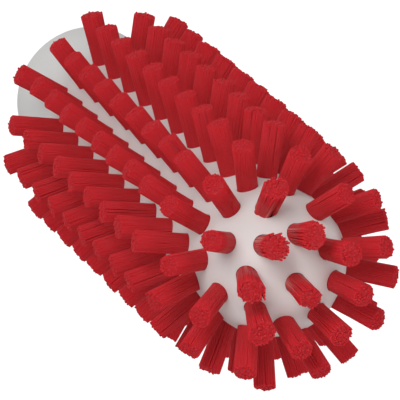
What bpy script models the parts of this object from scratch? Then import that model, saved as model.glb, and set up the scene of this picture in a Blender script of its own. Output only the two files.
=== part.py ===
"""Pipe brush: a round-nosed core with a handle socket and staggered rows of split tufts.

The brush stands on the flat rear face of its collar, with its axis along +Z and its nose up.
Lengths are in metres and angles in degrees.
"""
import math
import random

import bmesh
import bpy
from mathutils import Matrix, Vector

# Core: a barrel between a plain collar and a rounded nose
BARREL_RADIUS = 0.0145
NOSE_HEIGHT = 0.0145
COLLAR_RADIUS = 0.0151
COLLAR_LENGTH = 0.0080
COLLAR_TAPER_LENGTH = 0.0090
COLLAR_EDGE_RADIUS = 0.0010
NECK_LENGTH = 0.0010

# Socket: the blind bore in the rear face that a handle screws into
SOCKET_MOUTH_RADIUS = 0.0106
SOCKET_END_RADIUS = 0.0099
SOCKET_DEPTH = 0.0200
SOCKET_CHAMFER = 0.0008
SOCKET_DRILL_POINT = 0.0020

# Backing: the outer layer of the core, cut into the slices that carry the tufts
BACKING_DEPTH = 0.0027
SEAT_GAP = 0.0003
SEGMENT_OUTER_RADIUS = 0.0113
TIP_PLUG_RADIUS = 0.0036

# Tuft field: odd rows start half a pitch nearer to the collar than even rows
ROW_COUNT = 16
FIRST_TUFT_HEIGHT = 0.0236
TUFT_PITCH = 0.01024
BARREL_TUFT_COUNT = 10
SHOULDER_MARGIN = 0.0040
NOSE_TUFT_COUNT = 8
NOSE_RING_RADIUS = 0.00885

# Tuft: one folded bundle, whose two halves stand side by side and flare towards the tip
TUFT_REACH = 0.0110
ROOT_DEPTH = 0.0014
ROOT_SPLIT = 0.0002
ROOT_HALF_WIDTH = 0.00185
ROOT_INNER_DEPTH = 0.0039
ROOT_OUTER_DEPTH = 0.0024
TIP_SPLIT = 0.0005
TIP_HALF_WIDTH = 0.0020
TIP_INNER_DEPTH = 0.0043
TIP_OUTER_DEPTH = 0.0029
TRIM_SPREAD = 0.0003
TRIM_SLOPE = 0.0003
ROW_FLARE_SHARE = 1.0
NOSE_FLARE_SHARE = 1.2

# Angles between a tuft and the brush's axis
BARREL_TUFT_ANGLE = 90.0
ODD_LAST_BARREL_ANGLE = 70.0
EVEN_LAST_BARREL_ANGLE = 58.0
SHOULDER_TUFT_ANGLE = 39.5
NOSE_TUFT_ANGLE = 14.5

# Facets and the order of the trimmed tips
TURN_STEPS = 48
NOSE_STEPS = 8
COLLAR_EDGE_STEPS = 4
LEAST_ARC_STEPS = 2
MERGE_DISTANCE = 0.00001
WEDGE_START_SHARE = 0.5
WEDGE_REACH_SHARE = 1.6
TRIM_SEED = 11

# Sizes that follow from the ones above
LAST_BARREL_TUFT_HEIGHT = FIRST_TUFT_HEIGHT + (BARREL_TUFT_COUNT - 1) * TUFT_PITCH
SHOULDER_HEIGHT = LAST_BARREL_TUFT_HEIGHT + SHOULDER_MARGIN
CORE_LENGTH = SHOULDER_HEIGHT + NOSE_HEIGHT
BACKING_START = COLLAR_LENGTH + COLLAR_TAPER_LENGTH + NECK_LENGTH + SEAT_GAP
ROW_ANGLE = 360.0 / ROW_COUNT
SEGMENT_ANGLE = 360.0 / NOSE_TUFT_COUNT

COLOURS = {
    "core_white": ((0.78, 0.78, 0.76, 1.0), 0.42),
    "bristle_red": ((0.52, 0.012, 0.018, 1.0), 0.38),
}


def clear_scene():
    for item in list(bpy.data.objects):
        bpy.data.objects.remove(item, do_unlink=True)


def make_collection(name):
    collection = bpy.data.collections.new(name)
    bpy.context.scene.collection.children.link(collection)
    return collection


def make_material(name):
    colour, roughness = COLOURS[name]
    material = bpy.data.materials.new(name)
    material.use_nodes = True
    shader = material.node_tree.nodes["Principled BSDF"]
    shader.inputs["Base Color"].default_value = colour
    shader.inputs["Roughness"].default_value = roughness
    shader.inputs["Metallic"].default_value = 0.0
    material.diffuse_color = colour
    return material


def add_object(name, mesh, collection):
    item = bpy.data.objects.new(name, mesh)
    collection.objects.link(item)
    return item


def as_guide(item):
    item.hide_render = True
    item.display_type = "WIRE"
    return item


# Profiles, as (radius, height) points


def nose_angle_at_radius(radius):
    """Angle on the nose's ellipse, from the shoulder, where it has this radius."""
    return math.acos(min(1.0, radius / BARREL_RADIUS))


def nose_point(angle, inset):
    """Point on the nose, or on the surface that lies this far under it."""
    return ((BARREL_RADIUS - inset) * math.cos(angle),
            SHOULDER_HEIGHT + (NOSE_HEIGHT - inset) * math.sin(angle))


def nose_arc(start, end, inset, steps):
    return [nose_point(start + (end - start) * step / steps, inset) for step in range(steps + 1)]


def core_profile():
    """Half section of the core, from the top of its nose, down the outside, to the socket's end."""
    inset = BACKING_DEPTH + SEAT_GAP
    points = nose_arc(math.pi / 2, 0.0, inset, NOSE_STEPS)
    points.append((BARREL_RADIUS - inset, BACKING_START - SEAT_GAP))
    points.append((BARREL_RADIUS, BACKING_START - SEAT_GAP))
    points.append((BARREL_RADIUS, COLLAR_LENGTH + COLLAR_TAPER_LENGTH))
    points.append((COLLAR_RADIUS, COLLAR_LENGTH))
    for step in range(COLLAR_EDGE_STEPS + 1):
        angle = math.pi / 2 * step / COLLAR_EDGE_STEPS
        points.append((COLLAR_RADIUS - COLLAR_EDGE_RADIUS * (1 - math.cos(angle)),
                       COLLAR_EDGE_RADIUS * (1 - math.sin(angle))))
    points.append((SOCKET_MOUTH_RADIUS + SOCKET_CHAMFER, 0.0))
    points.append((SOCKET_MOUTH_RADIUS, SOCKET_CHAMFER))
    points.append((SOCKET_END_RADIUS, SOCKET_DEPTH))
    points.append((0.0, SOCKET_DEPTH + SOCKET_DRILL_POINT))
    return points


def backing_profile(start_angle, end_angle, start_height):
    """Closed half section of the backing layer, between two places on the nose.

    With a start height the layer also runs down the barrel to that height.
    """
    turned_share = abs(end_angle - start_angle) / (math.pi / 2)
    steps = max(LEAST_ARC_STEPS, round(NOSE_STEPS * turned_share))
    outer = nose_arc(end_angle, start_angle, 0.0, steps)
    inner = nose_arc(start_angle, end_angle, BACKING_DEPTH, steps)
    if start_height is not None:
        outer.append((BARREL_RADIUS, start_height))
        inner.insert(0, (BARREL_RADIUS - BACKING_DEPTH, start_height))
    return outer + inner


def turned_mesh(name, profile, closed):
    """Wire of a half section, ready for a Screw modifier."""
    mesh = bpy.data.meshes.new(name)
    edges = [(i, i + 1) for i in range(len(profile) - 1)]
    if closed:
        edges.append((len(profile) - 1, 0))
    mesh.from_pydata([(radius, 0.0, height) for radius, height in profile], edges, [])
    return mesh


def add_turning(item):
    screw = item.modifiers.new("Turned", "SCREW")
    screw.axis = "Z"
    screw.angle = 2 * math.pi
    screw.steps = TURN_STEPS
    screw.render_steps = TURN_STEPS
    screw.use_merge_vertices = True
    screw.merge_threshold = MERGE_DISTANCE
    screw.use_smooth_shade = True
    return screw


def add_boolean(item, other, operation):
    boolean = item.modifiers.new(other.name, "BOOLEAN")
    boolean.operation = operation
    boolean.solver = "EXACT"
    boolean.object = other
    return boolean


# Tufts


def tuft_frame(height, direction_angle, flare_share):
    """Root point, directions and flare of a tuft at this height, on the half plane through +X."""
    if height > SHOULDER_HEIGHT:
        angle = math.asin(min(1.0, (height - SHOULDER_HEIGHT) / NOSE_HEIGHT))
        radius, height = nose_point(angle, 0.0)
    else:
        radius = BARREL_RADIUS
    lean = math.radians(direction_angle)
    along = Vector((math.sin(lean), 0.0, math.cos(lean)))
    side = Vector((0.0, 1.0, 0.0))
    return Vector((radius, 0.0, height)), along, side, along.cross(side), flare_share


def add_tuft_halves(bm, frame, trims):
    """Two four-sided strands, each shaped from a cube: the halves of one folded bundle."""
    root, along, side, across, flare_share = frame
    for hand in (-1.0, 1.0):
        trim = TRIM_SPREAD * trims.uniform(0.0, 1.0)
        slope = TRIM_SLOPE * trims.uniform(-1.0, 1.0)
        for vertex in bmesh.ops.create_cube(bm, size=2.0)["verts"]:
            at_tip = vertex.co.z > 0
            is_outer = vertex.co.y > 0
            split = TIP_SPLIT if at_tip else ROOT_SPLIT
            width = TIP_HALF_WIDTH * flare_share if at_tip else ROOT_HALF_WIDTH
            if at_tip:
                depth = (TIP_OUTER_DEPTH if is_outer else TIP_INNER_DEPTH) * flare_share
            else:
                depth = ROOT_OUTER_DEPTH if is_outer else ROOT_INNER_DEPTH
            reach = TUFT_REACH - trim - abs(slope) + slope * vertex.co.x if at_tip else -ROOT_DEPTH
            sideways = hand * (split / 2 + (width if is_outer else 0.0))
            lengthways = vertex.co.x * hand * depth / 2
            vertex.co = root + along * reach + side * sideways + across * lengthways


def tuft_guide(name, frames, collection, trims, materials):
    """Mesh of all strands on one backing slice, joined to it by a Boolean."""
    bm = bmesh.new()
    for frame in frames:
        add_tuft_halves(bm, frame, trims)
    bmesh.ops.recalc_face_normals(bm, faces=bm.faces)
    for face in bm.faces:
        face.material_index = 1
    mesh = bpy.data.meshes.new(name)
    bm.to_mesh(mesh)
    bm.free()
    for material in materials:
        mesh.materials.append(material)
    return as_guide(add_object(name, mesh, collection))


def row_frames(is_odd):
    """Frames of one row's tufts, from the collar to the nose."""
    start = FIRST_TUFT_HEIGHT + (0.0 if is_odd else TUFT_PITCH / 2)
    angles = [BARREL_TUFT_ANGLE] * (BARREL_TUFT_COUNT - 1)
    if is_odd:
        angles += [ODD_LAST_BARREL_ANGLE, SHOULDER_TUFT_ANGLE]
    else:
        angles += [EVEN_LAST_BARREL_ANGLE]
    heights = [start + place * TUFT_PITCH for place in range(len(angles))]
    return [tuft_frame(height, angle, ROW_FLARE_SHARE) for height, angle in zip(heights, angles)]


# Slices of the backing


def wedge_guide(name, angle, collection):
    """Upright wedge about the half plane through +X that cuts one slice from a turned layer.

    It is shaped from a cube, and its flanks stay half a seat gap away from the next slices.
    """
    half_angle = math.radians(angle / 2)
    bm = bmesh.new()
    for vertex in bmesh.ops.create_cube(bm, size=2.0)["verts"]:
        if vertex.co.x > 0:
            radius = BARREL_RADIUS * WEDGE_REACH_SHARE
        else:
            radius = TIP_PLUG_RADIUS * WEDGE_START_SHARE
        half_width = radius * math.tan(half_angle) - SEAT_GAP / 2 / math.cos(half_angle)
        height = CORE_LENGTH + BACKING_DEPTH if vertex.co.z > 0 else 0.0
        vertex.co = Vector((radius, vertex.co.y * half_width, height))
    mesh = bpy.data.meshes.new(name)
    bm.to_mesh(mesh)
    bm.free()
    return as_guide(add_object(name, mesh, collection))


def place_slice(item, guides, angle):
    """Turn a slice and its guides to their place about the axis."""
    turn = Matrix.Rotation(math.radians(angle), 4, "Z")
    item.matrix_world = turn
    for guide in guides:
        guide.matrix_world = turn


def add_slice(name, profile, slice_angle, turn_angle, frames, build):
    """One backing slice with the tufts that it carries."""
    mesh = turned_mesh(name, profile, closed=True)
    for material in build["materials"]:
        mesh.materials.append(material)
    item = add_object(name, mesh, build["parts"])
    add_turning(item)
    wedge = wedge_guide(name + "_wedge", slice_angle, build["guides"])
    tufts = tuft_guide(name + "_tufts", frames, build["guides"], build["trims"], build["materials"])
    add_boolean(item, wedge, "INTERSECT")
    add_boolean(item, tufts, "UNION")
    place_slice(item, (wedge, tufts), turn_angle)
    return item


def add_core(build):
    mesh = turned_mesh("core_body", core_profile(), closed=False)
    mesh.materials.append(build["materials"][0])
    item = add_object("core_body", mesh, build["parts"])
    add_turning(item)
    return item


def add_rows(build):
    """Slices of the barrel and shoulder, one for each longitudinal row of tufts."""
    profile = backing_profile(0.0, nose_angle_at_radius(SEGMENT_OUTER_RADIUS), BACKING_START)
    for index in range(ROW_COUNT):
        name = f"bristle_row_{index + 1:02d}"
        frames = row_frames(is_odd=index % 2 == 0)
        add_slice(name, profile, ROW_ANGLE, index * ROW_ANGLE, frames, build)


def add_nose_segments(build):
    """Slices of the nose, each with one tuft, in line with the even rows."""
    gap_angle = SEAT_GAP / NOSE_HEIGHT
    start = nose_angle_at_radius(SEGMENT_OUTER_RADIUS) + gap_angle
    end = nose_angle_at_radius(TIP_PLUG_RADIUS + SEAT_GAP)
    profile = backing_profile(start, end, None)
    height = nose_point(nose_angle_at_radius(NOSE_RING_RADIUS), 0.0)[1]
    for index in range(NOSE_TUFT_COUNT):
        frames = [tuft_frame(height, NOSE_TUFT_ANGLE, NOSE_FLARE_SHARE)]
        turn_angle = ROW_ANGLE + index * SEGMENT_ANGLE
        add_slice(f"nose_tuft_{index + 1}", profile, SEGMENT_ANGLE, turn_angle, frames, build)


def add_tip_plug(build):
    """Round slice at the very end of the nose, with the tuft that points along the axis."""
    start = nose_angle_at_radius(TIP_PLUG_RADIUS)
    outer = nose_arc(math.pi / 2, start, 0.0, LEAST_ARC_STEPS)
    inner = nose_arc(start, math.pi / 2, BACKING_DEPTH, LEAST_ARC_STEPS)
    mesh = turned_mesh("tip_tuft", outer + inner, closed=False)
    for material in build["materials"]:
        mesh.materials.append(material)
    item = add_object("tip_tuft", mesh, build["parts"])
    add_turning(item)
    top = Vector((0.0, 0.0, CORE_LENGTH))
    directions = Vector((0.0, 0.0, 1.0)), Vector((0.0, 1.0, 0.0)), Vector((-1.0, 0.0, 0.0))
    frames = [(top, *directions, NOSE_FLARE_SHARE)]
    tufts = tuft_guide("tip_tuft_tufts", frames, build["guides"], build["trims"], build["materials"])
    add_boolean(item, tufts, "UNION")


def main():
    clear_scene()
    build = {
        "parts": make_collection("pipe_brush"),
        "guides": make_collection("guides"),
        "materials": [make_material("core_white"), make_material("bristle_red")],
        "trims": random.Random(TRIM_SEED),
    }
    add_core(build)
    add_rows(build)
    add_nose_segments(build)
    add_tip_plug(build)
    bpy.context.view_layer.update()


main()
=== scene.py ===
import math
import random

import bmesh
import bpy
from mathutils import Matrix, Vector


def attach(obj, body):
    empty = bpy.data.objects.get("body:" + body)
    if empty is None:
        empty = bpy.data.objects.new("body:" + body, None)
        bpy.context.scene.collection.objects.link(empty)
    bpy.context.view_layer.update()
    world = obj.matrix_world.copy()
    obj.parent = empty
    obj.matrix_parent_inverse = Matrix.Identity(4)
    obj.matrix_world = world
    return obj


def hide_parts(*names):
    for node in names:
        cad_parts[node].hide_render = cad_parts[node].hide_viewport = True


# Pipe brush: a white moulded core, drilled in staggered rows for tufts of red filament.
# Lengths are in metres and angles in degrees. The brush stands on its rear face, nose up.

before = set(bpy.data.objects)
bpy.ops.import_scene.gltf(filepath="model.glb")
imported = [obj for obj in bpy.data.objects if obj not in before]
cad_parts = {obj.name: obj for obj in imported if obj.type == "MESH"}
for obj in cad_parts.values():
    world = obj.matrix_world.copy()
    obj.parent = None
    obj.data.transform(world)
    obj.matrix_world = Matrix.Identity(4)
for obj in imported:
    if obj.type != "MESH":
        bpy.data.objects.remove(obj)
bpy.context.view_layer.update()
print("frame loaded with", len(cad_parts), "nodes")


def deselectAll():
    if bpy.context.object and bpy.context.object.mode != "OBJECT":
        bpy.ops.object.mode_set(mode="OBJECT")
    bpy.ops.object.select_all(action="DESELECT")


def makeActive(piece):
    deselectAll()
    piece.select_set(True)
    bpy.context.view_layer.objects.active = piece


def startEdit(piece, kind):
    makeActive(piece)
    bpy.ops.object.mode_set(mode="EDIT")
    bpy.ops.mesh.select_mode(type=kind)
    bpy.ops.mesh.select_all(action="DESELECT")


def pickFaces(piece, test):
    cage = bmesh.from_edit_mesh(piece.data)
    for face in cage.faces:
        face.select_set(test(face))
    bmesh.update_edit_mesh(piece.data)


def pickEdges(piece, test):
    cage = bmesh.from_edit_mesh(piece.data)
    for edge in cage.edges:
        edge.select_set(test(edge))
    bmesh.update_edit_mesh(piece.data)


def applyPlace(piece):  # a finished piece has its place in its mesh
    makeActive(piece)
    bpy.ops.object.transform_apply(location=True, rotation=True, scale=True)


def applyModifiers(piece):
    makeActive(piece)
    for modifier in list(piece.modifiers):
        bpy.ops.object.modifier_apply(modifier=modifier.name)


def joinPieces(pieces, name):
    deselectAll()
    for piece in pieces:
        piece.select_set(True)
    bpy.context.view_layer.objects.active = pieces[0]
    bpy.ops.object.join()
    joined = bpy.context.object
    joined.name = name
    joined.data.name = name
    return joined


def copyPiece(piece, name, matrix):
    copied = bpy.data.objects.new(name, piece.data.copy())
    copied.data.transform(matrix)
    bpy.context.scene.collection.objects.link(copied)
    return copied


# Where the tufts stand, repeated from the CAD model

tuftField = {
    "rows": 16,
    "firstHeight": 0.0236,
    "pitch": 0.01024,
    "barrelTufts": 10,
    "shoulderMargin": 0.0040,
    "barrelRadius": 0.0145,
    "noseHeight": 0.0145,
    "barrelAngle": 90.0,
    "oddLastAngle": 70.0,
    "evenLastAngle": 58.0,
    "shoulderAngle": 39.5,
    "noseAngle": 14.5,
    "noseTufts": 8,
    "noseRing": 0.00885,
    "tipSunk": 0.00025,
}
tuftField["shoulder"] = (tuftField["firstHeight"] + tuftField["shoulderMargin"]
                         + (tuftField["barrelTufts"] - 1) * tuftField["pitch"])


def tuftFrame(height, leanAngle, turnAngle):  # local Z runs along the tuft, local X across the row
    radius = tuftField["barrelRadius"]
    if height > tuftField["shoulder"]:
        rise = min(1.0, (height - tuftField["shoulder"]) / tuftField["noseHeight"])
        radius *= math.cos(math.asin(rise))
    lean = math.radians(leanAngle)
    along = Vector((math.sin(lean), 0.0, math.cos(lean)))
    side = Vector((0.0, 1.0, 0.0))
    columns = Matrix((side, along.cross(side), along)).transposed().to_4x4()
    turn = Matrix.Rotation(math.radians(turnAngle), 4, "Z")
    return turn @ Matrix.Translation((radius, 0.0, height)) @ columns


def rowFrames(index):
    isOdd = index % 2 == 0
    start = tuftField["firstHeight"] + (0.0 if isOdd else tuftField["pitch"] / 2)
    angles = [tuftField["barrelAngle"]] * (tuftField["barrelTufts"] - 1)
    if isOdd:
        angles += [tuftField["oddLastAngle"], tuftField["shoulderAngle"]]
    else:
        angles += [tuftField["evenLastAngle"]]
    turn = index * 360 / tuftField["rows"]
    return [tuftFrame(start + place * tuftField["pitch"], angle, turn) for place, angle in enumerate(angles)]


def noseFrame(index):
    ring = tuftField["noseRing"] / tuftField["barrelRadius"]
    height = tuftField["shoulder"] + tuftField["noseHeight"] * math.sin(math.acos(ring))
    turn = 360 / tuftField["rows"] + index * 360 / tuftField["noseTufts"]
    return tuftFrame(height, tuftField["noseAngle"], turn)


def tipFrame():
    top = tuftFrame(tuftField["shoulder"] + tuftField["noseHeight"], 0.0, 0.0)
    return Matrix.Translation((0.0, 0.0, -tuftField["tipSunk"])) @ top


fieldFrames = {f"tuftRow{row + 1:02d}": rowFrames(row) for row in range(tuftField["rows"])}
for place in range(tuftField["noseTufts"]):
    fieldFrames[f"noseTuft{place + 1}"] = [noseFrame(place)]
fieldFrames["tipTuft"] = [tipFrame()]
print("tuft places:", sum(len(frames) for frames in fieldFrames.values()))


# Materials: the core's white plastic and the filaments' red one

def addNode(tree, kind, **values):
    node = tree.nodes.new(kind)
    for name, value in values.items():
        setattr(node, name, value)
    return node


def mixColour(tree, factor, first, second):
    mix = addNode(tree, "ShaderNodeMix", data_type="RGBA")
    for name, value in (("Factor", factor), ("A", first), ("B", second)):
        if isinstance(value, bpy.types.NodeSocket):
            tree.links.new(value, mix.inputs[name])
        else:
            mix.inputs[name].default_value = value
    return mix.outputs["Result"]


def mapRange(tree, value, given, wanted=(0.0, 1.0)):
    ramp = addNode(tree, "ShaderNodeMapRange")
    ramp.inputs["From Min"].default_value, ramp.inputs["From Max"].default_value = given
    ramp.inputs["To Min"].default_value, ramp.inputs["To Max"].default_value = wanted
    tree.links.new(value, ramp.inputs["Value"])
    return ramp.outputs["Result"]


def doMath(tree, kind, first, second):
    node = addNode(tree, "ShaderNodeMath", operation=kind, use_clamp=True)
    tree.links.new(first, node.inputs[0])
    tree.links.new(second, node.inputs[1])
    return node.outputs["Value"]


noiseDetail = {"clouds": 3.0, "grain": 2.0}


def makeGrainGroup():  # cloudy tone and fine grain that both plastics share
    group = bpy.data.node_groups.new("plasticGrain", "ShaderNodeTree")
    sockets = group.interface
    sockets.new_socket("Light Colour", in_out="INPUT", socket_type="NodeSocketColor")
    sockets.new_socket("Deep Colour", in_out="INPUT", socket_type="NodeSocketColor")
    for name in ("Cloud Scale", "Grain Scale", "Grain Depth", "Roughness Low", "Roughness High"):
        sockets.new_socket(name, in_out="INPUT", socket_type="NodeSocketFloat")
    sockets.new_socket("Colour", in_out="OUTPUT", socket_type="NodeSocketColor")
    sockets.new_socket("Roughness", in_out="OUTPUT", socket_type="NodeSocketFloat")
    sockets.new_socket("Normal", in_out="OUTPUT", socket_type="NodeSocketVector")
    given = addNode(group, "NodeGroupInput")
    result = addNode(group, "NodeGroupOutput")
    place = addNode(group, "ShaderNodeTexCoord")
    clouds = addNode(group, "ShaderNodeTexNoise")
    clouds.inputs["Detail"].default_value = noiseDetail["clouds"]
    grain = addNode(group, "ShaderNodeTexNoise")
    grain.inputs["Detail"].default_value = noiseDetail["grain"]
    tone = addNode(group, "ShaderNodeMix", data_type="RGBA")
    gloss = addNode(group, "ShaderNodeMapRange")
    bump = addNode(group, "ShaderNodeBump")
    link = group.links.new
    link(place.outputs["Object"], clouds.inputs["Vector"])
    link(place.outputs["Object"], grain.inputs["Vector"])
    link(given.outputs["Cloud Scale"], clouds.inputs["Scale"])
    link(given.outputs["Grain Scale"], grain.inputs["Scale"])
    link(clouds.outputs["Fac"], tone.inputs["Factor"])
    link(given.outputs["Deep Colour"], tone.inputs["A"])
    link(given.outputs["Light Colour"], tone.inputs["B"])
    link(clouds.outputs["Fac"], gloss.inputs["Value"])
    link(given.outputs["Roughness High"], gloss.inputs["To Min"])
    link(given.outputs["Roughness Low"], gloss.inputs["To Max"])
    link(grain.outputs["Fac"], bump.inputs["Height"])
    link(given.outputs["Grain Depth"], bump.inputs["Distance"])
    link(tone.outputs["Result"], result.inputs["Colour"])
    link(gloss.outputs["Result"], result.inputs["Roughness"])
    link(bump.outputs["Normal"], result.inputs["Normal"])
    return group


grainGroup = makeGrainGroup()

corePlastic = {
    "light": (0.79, 0.785, 0.765, 1.0),
    "deep": (0.75, 0.74, 0.725, 1.0),
    "cloudScale": 70.0,
    "grainScale": 3600.0,
    "grainDepth": 0.00002,
    "roughness": (0.38, 0.50),
    "specular": 0.35,
}

filamentPlastic = {
    "light": (0.57, 0.031, 0.040, 1.0),
    "deep": (0.51, 0.028, 0.036, 1.0),
    # painted shade towards the filament's root and painted light towards its cut end
    "rootShade": (0.63, 0.038, 0.045, 1.0),
    "endGlow": (0.67, 0.020, 0.028, 1.0),
    "glowReach": (0.40, 1.0),
    # painted sheen: the colour of a pale reflection streak near the root of the glossiest filaments and of a
    # painted highlight on some cut ends
    "sheen": (0.74, 0.26, 0.24, 1.0),
    "sheenTones": (1.0, 1.5),
    "glintTones": (0.60, 1.0),
    "glintShares": (0.0, 0.07),
    "cutReach": (0.9975, 1.0),
    "cloudScale": 380.0,
    "grainScale": 6500.0,
    "grainDepth": 0.00001,
    "roughness": (0.30, 0.42),
    "specular": 0.02,
    "throughShare": 0.5,
    "throughReach": 0.0006,
    "throughColour": (1.0, 0.12, 0.12),
    "toneSpread": 0.5,
    "endSpread": 0.5,
}


def startMaterial(name, look):
    material = bpy.data.materials.new(name)
    material.use_nodes = True
    material.diffuse_color = look["light"]
    tree = material.node_tree
    shader = tree.nodes["Principled BSDF"]
    shader.inputs["Specular IOR Level"].default_value = look["specular"]
    grain = addNode(tree, "ShaderNodeGroup", node_tree=grainGroup)
    grain.inputs["Light Colour"].default_value = look["light"]
    grain.inputs["Deep Colour"].default_value = look["deep"]
    grain.inputs["Cloud Scale"].default_value = look["cloudScale"]
    grain.inputs["Grain Scale"].default_value = look["grainScale"]
    grain.inputs["Grain Depth"].default_value = look["grainDepth"]
    grain.inputs["Roughness Low"].default_value = look["roughness"][0]
    grain.inputs["Roughness High"].default_value = look["roughness"][1]
    tree.links.new(grain.outputs["Colour"], shader.inputs["Base Color"])
    tree.links.new(grain.outputs["Roughness"], shader.inputs["Roughness"])
    tree.links.new(grain.outputs["Normal"], shader.inputs["Normal"])
    return material, tree, shader, grain


def makeCoreMaterial():
    return startMaterial("coreWhite", corePlastic)[0]


def makeFilamentMaterial():  # each filament has its own tone, with painted shade at its root and painted light towards its end
    look = filamentPlastic
    material, tree, shader, grain = startMaterial("filamentRed", look)
    shader.inputs["Subsurface Weight"].default_value = look["throughShare"]
    shader.inputs["Subsurface Scale"].default_value = look["throughReach"]
    shader.inputs["Subsurface Radius"].default_value = look["throughColour"]
    # the filament's tone, which above 1 also calls for a painted sheen streak
    tone = addNode(tree, "ShaderNodeAttribute", attribute_name="filamentToneAndSheen")
    reach = addNode(tree, "ShaderNodeAttribute", attribute_name="filamentReach")
    rise = mapRange(tree, reach.outputs["Fac"], look["glowReach"])
    strandTone = mixColour(tree, tone.outputs["Fac"], look["deep"], look["light"])
    mottled = mixColour(tree, look["toneSpread"], grain.outputs["Colour"], strandTone)
    # painted shade towards the root and painted light towards the cut end, mixed into the filament's tone
    paintedShadeAndLight = mixColour(tree, rise, look["rootShade"], look["endGlow"])
    plain = mixColour(tree, look["endSpread"], mottled, paintedShadeAndLight)
    # painted sheen: the filaments picked as glossiest carry a painted pale reflection streak that fades
    # towards the tip, and some carry a painted highlight on the cut end
    sheenStreak = mapRange(tree, tone.outputs["Fac"], look["sheenTones"])
    fade = doMath(tree, "SUBTRACT", sheenStreak, reach.outputs["Fac"])
    glintPick = mapRange(tree, tone.outputs["Fac"], look["glintTones"])
    glintAtCut = mapRange(tree, reach.outputs["Fac"], look["cutReach"], look["glintShares"])
    pale = doMath(tree, "MAXIMUM", fade, doMath(tree, "MULTIPLY", glintPick, glintAtCut))
    colour = mixColour(tree, pale, plain, look["sheen"])
    tree.links.new(colour, shader.inputs["Base Color"])
    return material


coreMaterial = makeCoreMaterial()
filamentMaterial = makeFilamentMaterial()
print("materials made")


# Core: one seamless skin, drilled for every tuft

coreShape = {
    "segments": 192,
    "collarRadius": 0.0151,
    "collarLength": 0.0080,
    "collarTaper": 0.0090,
    "collarEdge": 0.0010,
    "edgeSteps": 6,
    "socketMouth": 0.0106,
    "socketEnd": 0.0099,
    "socketDepth": 0.0200,
    "socketChamfer": 0.0008,
    "drillPoint": 0.0020,
    "drillFlat": 0.0006,
    "barrelSteps": 36,
    "noseSteps": 28,
    "poleRadius": 0.0005,
    "sharpAngle": 32.0,
}

tuftHole = {
    "radius": 0.00212,
    "depth": 0.0034,
    "overrun": 0.0016,
    "sides": 32,
}


def corePoints():  # (radius, height) from the end of the socket, over the rear face and up to the nose
    shape = coreShape
    points = [(shape["socketEnd"], shape["socketDepth"]),
              (shape["socketMouth"], shape["socketChamfer"]),
              (shape["socketMouth"] + shape["socketChamfer"], 0.0)]
    for step in range(shape["edgeSteps"] + 1):
        angle = math.pi / 2 * step / shape["edgeSteps"]
        points.append((shape["collarRadius"] - shape["collarEdge"] * (1 - math.sin(angle)),
                       shape["collarEdge"] * (1 - math.cos(angle))))
    points.append((shape["collarRadius"], shape["collarLength"]))
    barrelStart = shape["collarLength"] + shape["collarTaper"]
    for step in range(shape["barrelSteps"]):
        share = step / shape["barrelSteps"]
        points.append((tuftField["barrelRadius"],
                       barrelStart + (tuftField["shoulder"] - barrelStart) * share))
    lastAngle = math.acos(shape["poleRadius"] / tuftField["barrelRadius"])
    for step in range(shape["noseSteps"] + 1):
        angle = lastAngle * step / shape["noseSteps"]
        points.append((tuftField["barrelRadius"] * math.cos(angle),
                       tuftField["shoulder"] + tuftField["noseHeight"] * math.sin(angle)))
    return points


def makeCoreSkin():
    start = (coreShape["drillFlat"], coreShape["socketDepth"] + coreShape["drillPoint"])
    deselectAll()
    bpy.ops.mesh.primitive_circle_add(vertices=coreShape["segments"], radius=start[0],
                                      fill_type="TRIFAN", location=(0, 0, start[1]))
    core = bpy.context.object
    applyPlace(core)
    startEdit(core, "EDGE")
    pickEdges(core, lambda edge: edge.is_boundary)
    radius, height = start
    for nextRadius, nextHeight in corePoints():
        rise = (0, 0, nextHeight - height)
        growth = nextRadius / radius
        bpy.ops.mesh.extrude_region_move(TRANSFORM_OT_translate={"value": rise})
        bpy.ops.transform.resize(value=(growth, growth, 1), center_override=(0, 0, nextHeight))
        radius, height = nextRadius, nextHeight
    bpy.ops.mesh.merge(type="CENTER")
    bpy.ops.mesh.select_all(action="SELECT")
    bpy.ops.mesh.normals_make_consistent(inside=False)
    bpy.ops.object.mode_set(mode="OBJECT")
    core.name = "coreSkin"
    core.data.name = "coreSkin"
    return core


def drillCore(core):
    length = tuftHole["depth"] + tuftHole["overrun"]
    deselectAll()
    bpy.ops.mesh.primitive_cylinder_add(vertices=tuftHole["sides"], radius=tuftHole["radius"], depth=length,
                                        location=(0, 0, tuftHole["overrun"] - length / 2))
    drill = bpy.context.object
    applyPlace(drill)
    places = [place for frames in fieldFrames.values() for place in frames]
    drills = [copyPiece(drill, "drill", place) for place in places]
    cutter = joinPieces(drills, "cutter")
    boolean = core.modifiers.new("holes", "BOOLEAN")
    boolean.operation = "DIFFERENCE"
    boolean.solver = "EXACT"
    boolean.object = cutter
    applyModifiers(core)
    bpy.data.objects.remove(cutter)
    bpy.data.objects.remove(drill)
    makeActive(core)
    bpy.ops.object.shade_smooth_by_angle(angle=math.radians(coreShape["sharpAngle"]))


coreSkin = makeCoreSkin()
drillCore(coreSkin)
coreSkin.data.materials.clear()
coreSkin.data.materials.append(coreMaterial)
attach(coreSkin, "root")
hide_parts("core_body")
print("core drilled:", len(coreSkin.data.polygons), "faces")


# Thread in the handle socket: a coarse rounded ridge that winds up the bore

socketThread = {
    "pitch": 0.0044,
    "turns": 3,
    "firstHeight": 0.0036,
    "ridgeHeight": 0.0009,
    "ridgeWidth": 0.0021,
    "crestWidth": 0.0009,
    "sunk": 0.0003,
    "stepsEachTurn": 72,
    "bevel": 0.0002,
    "bevelSteps": 2,
}


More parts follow.
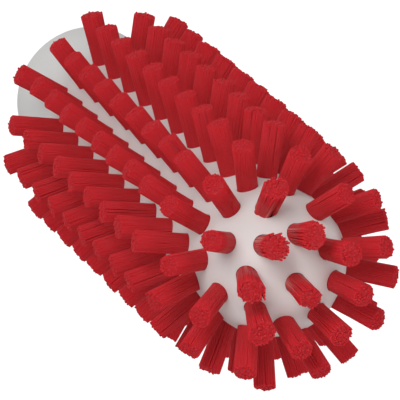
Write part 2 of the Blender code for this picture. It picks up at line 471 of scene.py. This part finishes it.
def makeThread():
    thread = socketThread
    deselectAll()
    bpy.ops.mesh.primitive_plane_add(size=1.0, location=(0, 0, 0))
    ridge = bpy.context.object
    wall = coreShape["socketMouth"] + thread["sunk"]
    for vertex in ridge.data.vertices:  # the plane becomes the ridge's section at +X
        inner = vertex.co.x < 0
        width = thread["crestWidth"] if inner else thread["ridgeWidth"]
        radius = wall - thread["sunk"] - thread["ridgeHeight"] if inner else wall
        vertex.co = Vector((radius, 0.0, thread["firstHeight"] + math.copysign(width / 2, vertex.co.y)))
    startEdit(ridge, "VERT")
    bpy.ops.mesh.select_all(action="SELECT")
    bpy.ops.mesh.bevel(offset=thread["bevel"], segments=thread["bevelSteps"], affect="VERTICES")
    bpy.ops.object.mode_set(mode="OBJECT")
    screw = ridge.modifiers.new("winding", "SCREW")
    screw.axis = "Z"
    screw.angle = math.tau
    screw.screw_offset = thread["pitch"]
    screw.iterations = thread["turns"]
    screw.steps = thread["stepsEachTurn"]
    screw.render_steps = thread["stepsEachTurn"]
    applyModifiers(ridge)
    # the winding follows the bore's slight taper
    taper = (coreShape["socketMouth"] - coreShape["socketEnd"]) / coreShape["socketDepth"]
    for vertex in ridge.data.vertices:
        radius = math.hypot(vertex.co.x, vertex.co.y)
        share = (radius - taper * vertex.co.z) / radius
        vertex.co.x *= share
        vertex.co.y *= share
    startEdit(ridge, "VERT")
    bpy.ops.mesh.select_all(action="SELECT")
    bpy.ops.mesh.normals_make_consistent(inside=False)
    bpy.ops.object.mode_set(mode="OBJECT")
    bpy.ops.object.shade_smooth_by_angle(angle=math.radians(coreShape["sharpAngle"]))
    ridge.name = "handleThread"
    ridge.data.name = "handleThread"
    return ridge


handleThread = makeThread()
handleThread.data.materials.clear()
handleThread.data.materials.append(coreMaterial)
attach(handleThread, "root")
print("thread wound")


# Filament: one thread of a tuft, modelled once and copied

filament = {
    "radius": 0.000195,
    "sides": 6,
    "root": 0.0022,
    "reach": 0.0109,
    "bands": 2,
    "tipInset": 0.00004,
    "tipRise": 0.00003,
    "sharpAngle": 65.0,
    "facingUp": 0.9,
    "heartSides": 12,
    "heartShare": 0.95,
    "halfHeartShare": 0.50,
    "heartShort": 0.0006,
}

tuft = {
    "rings": 7,
    "ringStep": 0.000265,
    "rootJitter": 0.00002,
    "rootSplit": (0.0, 0.00018),
    "tipSplit": (0.0, 0.00004),
    "rowFlare": (1.00, 1.12),
    "flareShape": 1.2,
    "crown": 0.00020,
    "trim": 0.00012,
    "proudShare": 0.14,
    "proud": 0.00021,
    "halfTrim": 0.00010,
    "slope": 0.07,
    "spread": 0.00005,
    "strays": 0.02,
    "strayReach": 0.00022,
    "bow": 0.00003,
    "lean": 1.0,
    "variants": 12,
    "seed": 24,
}
bundleRadius = tuft["rings"] * tuft["ringStep"]

# the tufts that have been pushed over, by their place from the rear: degrees across and along
pushedTufts = {
    "tuftRow01": {place: (-4, 0) for place in range(2, 11)},
    "tuftRow07": {11: (4, 6)},
    "tuftRow09": {11: (6, 6)},
    "tuftRow11": {11: (6, 6)},
    "tuftRow12": {place: (-6, 4) for place in range(7, 11)},
    "tuftRow15": {11: (-4, 0)},
}

# how each tuft of the nose has splayed and frayed, how much painted sheen its filaments carry, and its lean
# in degrees across and along
noseSplay = {
    "noseTuft1": {"flare": (1.12, 1.38), "ragged": 2.2, "sheen": 0.4, "lean": (0.0, 0.0)},
    "noseTuft2": {"flare": (1.15, 1.36), "ragged": 1.8, "sheen": 0.2, "lean": (0.0, 0.0)},
    "noseTuft3": {"flare": (1.08, 1.06), "ragged": 1.4, "sheen": 0.1, "lean": (2.0, 2.0)},
    "noseTuft4": {"flare": (1.12, 1.08), "ragged": 1.4, "sheen": 0.1, "lean": (1.0, 2.0)},
    "noseTuft5": {"flare": (1.10, 1.12), "ragged": 1.4, "sheen": 0.1, "lean": (2.0, 1.0)},
    "noseTuft6": {"flare": (1.20, 1.16), "ragged": 1.4, "sheen": 0.1, "lean": (3.6, 1.8)},
    "noseTuft7": {"flare": (1.12, 1.42), "ragged": 2.0, "sheen": 0.6, "lean": (3.6, -0.6)},
    "noseTuft8": {"flare": (1.24, 1.28), "ragged": 3.8, "sheen": 0.6, "lean": (-4.0, -2.4)},
    "tipTuft": {"flare": (1.02, 1.08), "ragged": 3.4, "sheen": 0.5, "lean": (0.3, -3.6)},
}

# the one tuft whose two halves stand well apart
partedTuft = {
    "row": "tuftRow15",
    "place": 11,
    "flare": (1.30, 1.10),
    "ragged": 1.8,
    "sheen": 0.5,
    "rootSplit": 0.0011,
    "tipSplit": 0.0,
}


def makeStrand(sides, radius):
    deselectAll()
    bpy.ops.mesh.primitive_cylinder_add(vertices=sides, radius=radius, depth=filament["root"],
                                        location=(0, 0, -filament["root"] / 2))
    strand = bpy.context.object
    applyPlace(strand)
    startEdit(strand, "FACE")
    pickFaces(strand, lambda face: face.normal.z > filament["facingUp"])
    rise = (0, 0, filament["reach"] / filament["bands"])
    for band in range(filament["bands"]):
        bpy.ops.mesh.extrude_region_move(TRANSFORM_OT_translate={"value": rise})
    bpy.ops.mesh.inset(thickness=filament["tipInset"])
    bpy.ops.transform.translate(value=(0, 0, filament["tipRise"]))
    bpy.ops.object.mode_set(mode="OBJECT")
    bpy.ops.object.shade_smooth_by_angle(angle=math.radians(filament["sharpAngle"]))
    top = filament["reach"] + filament["tipRise"]
    reach = strand.data.attributes.new("filamentReach", "FLOAT", "POINT")
    for vertex in strand.data.vertices:
        reach.data[vertex.index].value = max(0.0, vertex.co.z / top)
    strand.data.attributes.new("filamentToneAndSheen", "FLOAT", "POINT")
    strand.data.materials.append(filamentMaterial)
    return strand


def bundlePlaces(luck):  # filaments packed in rings of 6, 12, 18 and so on about a middle one
    places = [Vector((0.0, 0.0, 0.0))]
    for ring in range(1, tuft["rings"] + 1):
        start = luck.uniform(0, math.tau)
        for place in range(6 * ring):
            angle = start + math.tau * place / (6 * ring)
            radius = ring * tuft["ringStep"]
            places.append(Vector((radius * math.cos(angle), radius * math.sin(angle), 0.0)))
    return places


def shapeFilament(mesh, root, tip, bow, length, swell, tone):  # from its root in the hole to the flared tip
    for vertex in mesh.vertices:
        share = max(0.0, vertex.co.z / filament["reach"])
        # the bow is fullest halfway along
        middle = root.lerp(tip, share ** tuft["flareShape"]) + bow * (4 * share * (1 - min(share, 1.0)))
        height = vertex.co.z * length / filament["reach"] if vertex.co.z > 0 else vertex.co.z
        thickness = 1 + (swell - 1) * share
        vertex.co = Vector((vertex.co.x * thickness + middle.x, vertex.co.y * thickness + middle.y, height))
    values = mesh.attributes["filamentToneAndSheen"].data
    values.foreach_set("value", [tone] * len(mesh.vertices))


def plantCopy(source, root, tip, bow, length, swell, tone):
    mesh = source.data.copy()
    shapeFilament(mesh, root, tip, bow, length, swell, tone)
    copied = bpy.data.objects.new("strand", mesh)
    bpy.context.scene.collection.objects.link(copied)
    return copied


def scatter(spread, luck):
    return Vector((luck.gauss(0, spread), luck.gauss(0, spread), 0.0))


def filamentLength(radius, tip, half, luck):  # worn round at the rim, with a few ends standing proud
    halfTrim, slopeAcross, slopeAlong = half
    slant = slopeAcross * tip.x + slopeAlong * tip.y
    crown = tuft["crown"] * (radius / bundleRadius) ** 2
    length = filament["reach"] - halfTrim - crown - abs(luck.gauss(0, tuft["trim"]))
    if luck.random() > tuft["proudShare"]:
        length -= tuft["proud"]
    return min(filament["reach"], length + slant)


def makeTuft(shape, luck):
    halves = {hand: (luck.uniform(0, tuft["halfTrim"]), luck.uniform(-1, 1) * tuft["slope"],
                     luck.uniform(-1, 1) * tuft["slope"]) for hand in (-1, 1)}
    flareAcross, flareAlong = shape["flare"]
    ragged, sheen = shape.get("ragged", 1.0), shape.get("sheen", 0.0)
    rootSplit = shape.get("rootSplit", luck.uniform(*tuft["rootSplit"]))
    tipSplit = shape.get("tipSplit", luck.uniform(*tuft["tipSplit"]))
    swell = (flareAcross + flareAlong) / 2
    # the heart stands for what is deep in the tuft, and shows only as a red ground between filaments
    straight = Vector((0.0, 0.0, 0.0))
    inside = filament["reach"] - filament["heartShort"]
    if shape is partedTuft:
        offset = Vector(((bundleRadius + rootSplit) / 2, 0.0, 0.0))
        strands = [plantCopy(halfHeart, hand * offset, hand * offset, straight, inside, flareAlong, 0.0)
                   for hand in (-1, 1)]
    else:
        strands = [plantCopy(heart, straight, straight, straight, inside, min(flareAcross, flareAlong), 0.0)]
    for root in bundlePlaces(luck):
        radius = root.length
        hand = math.copysign(1, root.x)
        tip = Vector((root.x * flareAcross + hand * tipSplit / 2, root.y * flareAlong, 0.0))
        root.x *= 1 - rootSplit / 2 / bundleRadius
        root += Vector((luck.gauss(0, tuft["rootJitter"]) + hand * rootSplit / 2,
                        luck.gauss(0, tuft["rootJitter"]), 0.0))
        isStray = luck.random() < tuft["strays"] * ragged
        tip += scatter(tuft["strayReach"] if isStray else tuft["spread"] * ragged, luck)
        bow = scatter(tuft["bow"], luck)
        length = filamentLength(radius, tip, halves[hand], luck)
        # a tone above 1 marks a filament that carries painted sheen
        strands.append(plantCopy(strand, root, tip, bow, length, swell, luck.random() * (1 + sheen)))
    return joinPieces(strands, "tuftVariant")


def leanMatrix(across, along):
    return Matrix.Rotation(math.radians(across), 4, "Y") @ Matrix.Rotation(math.radians(-along), 4, "X")


def plantRow(name, frames, variants, luck):
    planted = []
    for place, frameMatrix in enumerate(frames, start=1):
        across, along = pushedTufts.get(name, {}).get(place, (0, 0))
        isParted = (name, place) == (partedTuft["row"], partedTuft["place"])
        variant = makeTuft(partedTuft, luck) if isParted else luck.choice(variants)
        halfTurn = Matrix.Rotation(math.pi * luck.randint(0, 1), 4, "Z")
        across += luck.uniform(-1, 1) * tuft["lean"]
        along += luck.uniform(-1, 1) * tuft["lean"]
        planted.append(copyPiece(variant, name, frameMatrix @ leanMatrix(across, along) @ halfTurn))
        if isParted:
            bpy.data.objects.remove(variant)
    return joinPieces(planted, name)


def plantNoseTuft(name, frameMatrix, luck):
    single = makeTuft(noseSplay[name], luck)
    single.data.transform(frameMatrix @ leanMatrix(*noseSplay[name]["lean"]))
    single.name = name
    single.data.name = name
    return single


luck = random.Random(tuft["seed"])
strand = makeStrand(filament["sides"], filament["radius"])
heart = makeStrand(filament["heartSides"], filament["heartShare"] * bundleRadius)
halfHeart = makeStrand(filament["heartSides"], filament["halfHeartShare"] * bundleRadius)
tuftVariants = [makeTuft({"flare": (luck.uniform(*tuft["rowFlare"]), luck.uniform(*tuft["rowFlare"]))}, luck)
                for variant in range(tuft["variants"])]
print("tuft variants made:", len(tuftVariants[0].data.polygons), "faces each")

for pieceName, frames in fieldFrames.items():
    if pieceName in noseSplay:
        piece = plantNoseTuft(pieceName, frames[0], luck)
    else:
        piece = plantRow(pieceName, frames, tuftVariants, luck)
    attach(piece, "root")
    if pieceName.startswith("tuftRow"):
        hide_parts("bristle_row_" + pieceName[-2:])
    elif pieceName.startswith("noseTuft"):
        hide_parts("nose_tuft_" + pieceName[-1])
    else:
        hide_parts("tip_tuft")
for helper in tuftVariants + [strand, heart, halfHeart]:
    bpy.data.objects.remove(helper)
print("tufts planted in", len(fieldFrames), "pieces")


# Camera at the photograph's angle: the axis runs towards the lower right, tilted towards the viewer

photoView = {
    "tilt": 25.0,
    "roll": 41.76,
    "facing": -13.47,
    "focalPixels": 6294.5,
    "pixels": 400,
    "sensor": 36.0,
    "farClip": 20.0,
    "anchorHeight": 0.01464,
    "anchorPlace": (-0.019462, -0.017795, 1.305),
}


def makeCamera():
    tilt = math.radians(photoView["tilt"])
    roll = math.radians(photoView["roll"])
    turn = math.radians(photoView["facing"])
    facing = Vector((math.cos(turn), math.sin(turn), 0.0))
    sideways = Vector((-math.sin(turn), math.cos(turn), 0.0))
    axis = Vector((0.0, 0.0, 1.0))
    foreshort = math.sin(tilt) * axis - math.cos(tilt) * facing
    right = math.cos(roll) * foreshort - math.sin(roll) * sideways
    down = math.sin(roll) * foreshort + math.cos(roll) * sideways
    forward = -math.cos(tilt) * axis - math.sin(tilt) * facing
    anchor = photoView["anchorPlace"]
    place = Vector((0.0, 0.0, photoView["anchorHeight"]))
    place -= anchor[0] * right + anchor[1] * down + anchor[2] * forward
    data = bpy.data.cameras.new("photoCamera")
    data.sensor_width = photoView["sensor"]
    data.lens = photoView["focalPixels"] / photoView["pixels"] * photoView["sensor"]
    data.clip_end = photoView["farClip"]
    camera = bpy.data.objects.new("photoCamera", data)
    turned = Matrix((right, -down, -forward)).transposed().to_4x4()
    camera.matrix_world = Matrix.Translation(place) @ turned
    bpy.context.scene.collection.objects.link(camera)
    bpy.context.scene.camera = camera
    return right, -down, -forward


pictureRight, pictureUp, towardsViewer = makeCamera()
print("camera placed")


# Studio light: a pale surround, a strong key from the upper left and a broad fill from the lower right

studio = {
    "surround": (1.0, 1.0, 1.0, 1.0),
    "surroundStrength": 0.55,
    "aim": (0.0, 0.0, 0.075),
    "floorSize": 12.0,
    "floorGap": 0.0001,
    "floorColour": (0.12, 0.12, 0.12, 1.0),
    "floorGlow": (1.0, 1.0, 1.0, 1.0),
    "floorCast": 0.35,
    "floorSeen": 1.0,
    "floorRoughness": 0.9,
    "floorSpecular": 0.1,
    "lights": {
        "keyLight": {"side": -0.32, "up": 0.36, "front": 1.0, "distance": 1.1, "size": 0.6, "power": 5.1},
        "fillLight": {"side": 0.75, "up": -0.6, "front": 0.75, "distance": 1.3, "size": 0.9, "power": 2.8},
    },
}


def makeLights():
    world = bpy.data.worlds.new("surround")
    bpy.context.scene.world = world
    world.use_nodes = True
    background = world.node_tree.nodes["Background"]
    background.inputs["Color"].default_value = studio["surround"]
    background.inputs["Strength"].default_value = studio["surroundStrength"]
    aim = Vector(studio["aim"])
    for name, light in studio["lights"].items():
        data = bpy.data.lights.new(name, "AREA")
        data.shape = "DISK"
        data.size = light["size"]
        data.energy = light["power"]
        lamp = bpy.data.objects.new(name, data)
        away = light["side"] * pictureRight + light["up"] * pictureUp + light["front"] * towardsViewer
        lamp.location = aim + away.normalized() * light["distance"]
        lamp.rotation_mode = "QUATERNION"
        lamp.rotation_quaternion = away.to_track_quat("Z", "Y")
        bpy.context.scene.collection.objects.link(lamp)


def makeFloorMaterial():  # it looks white but throws less light up at the brush
    material = bpy.data.materials.new("floorPale")
    material.use_nodes = True
    tree = material.node_tree
    shader = tree.nodes["Principled BSDF"]
    shader.inputs["Base Color"].default_value = studio["floorColour"]
    shader.inputs["Roughness"].default_value = studio["floorRoughness"]
    shader.inputs["Specular IOR Level"].default_value = studio["floorSpecular"]
    shader.inputs["Emission Color"].default_value = studio["floorGlow"]
    path = addNode(tree, "ShaderNodeLightPath")
    strengths = (studio["floorCast"], studio["floorSeen"])
    glow = mapRange(tree, path.outputs["Is Camera Ray"], (0.0, 1.0), strengths)
    tree.links.new(glow, shader.inputs["Emission Strength"])
    return material


def makeFloor():
    deselectAll()
    bpy.ops.mesh.primitive_plane_add(size=studio["floorSize"], location=(0, 0, -studio["floorGap"]))
    floor = bpy.context.object
    floor.name = "floor"
    floor.data.materials.append(makeFloorMaterial())


makeLights()
makeFloor()
bpy.context.scene.view_settings.view_transform = "Standard"
print("studio lit")
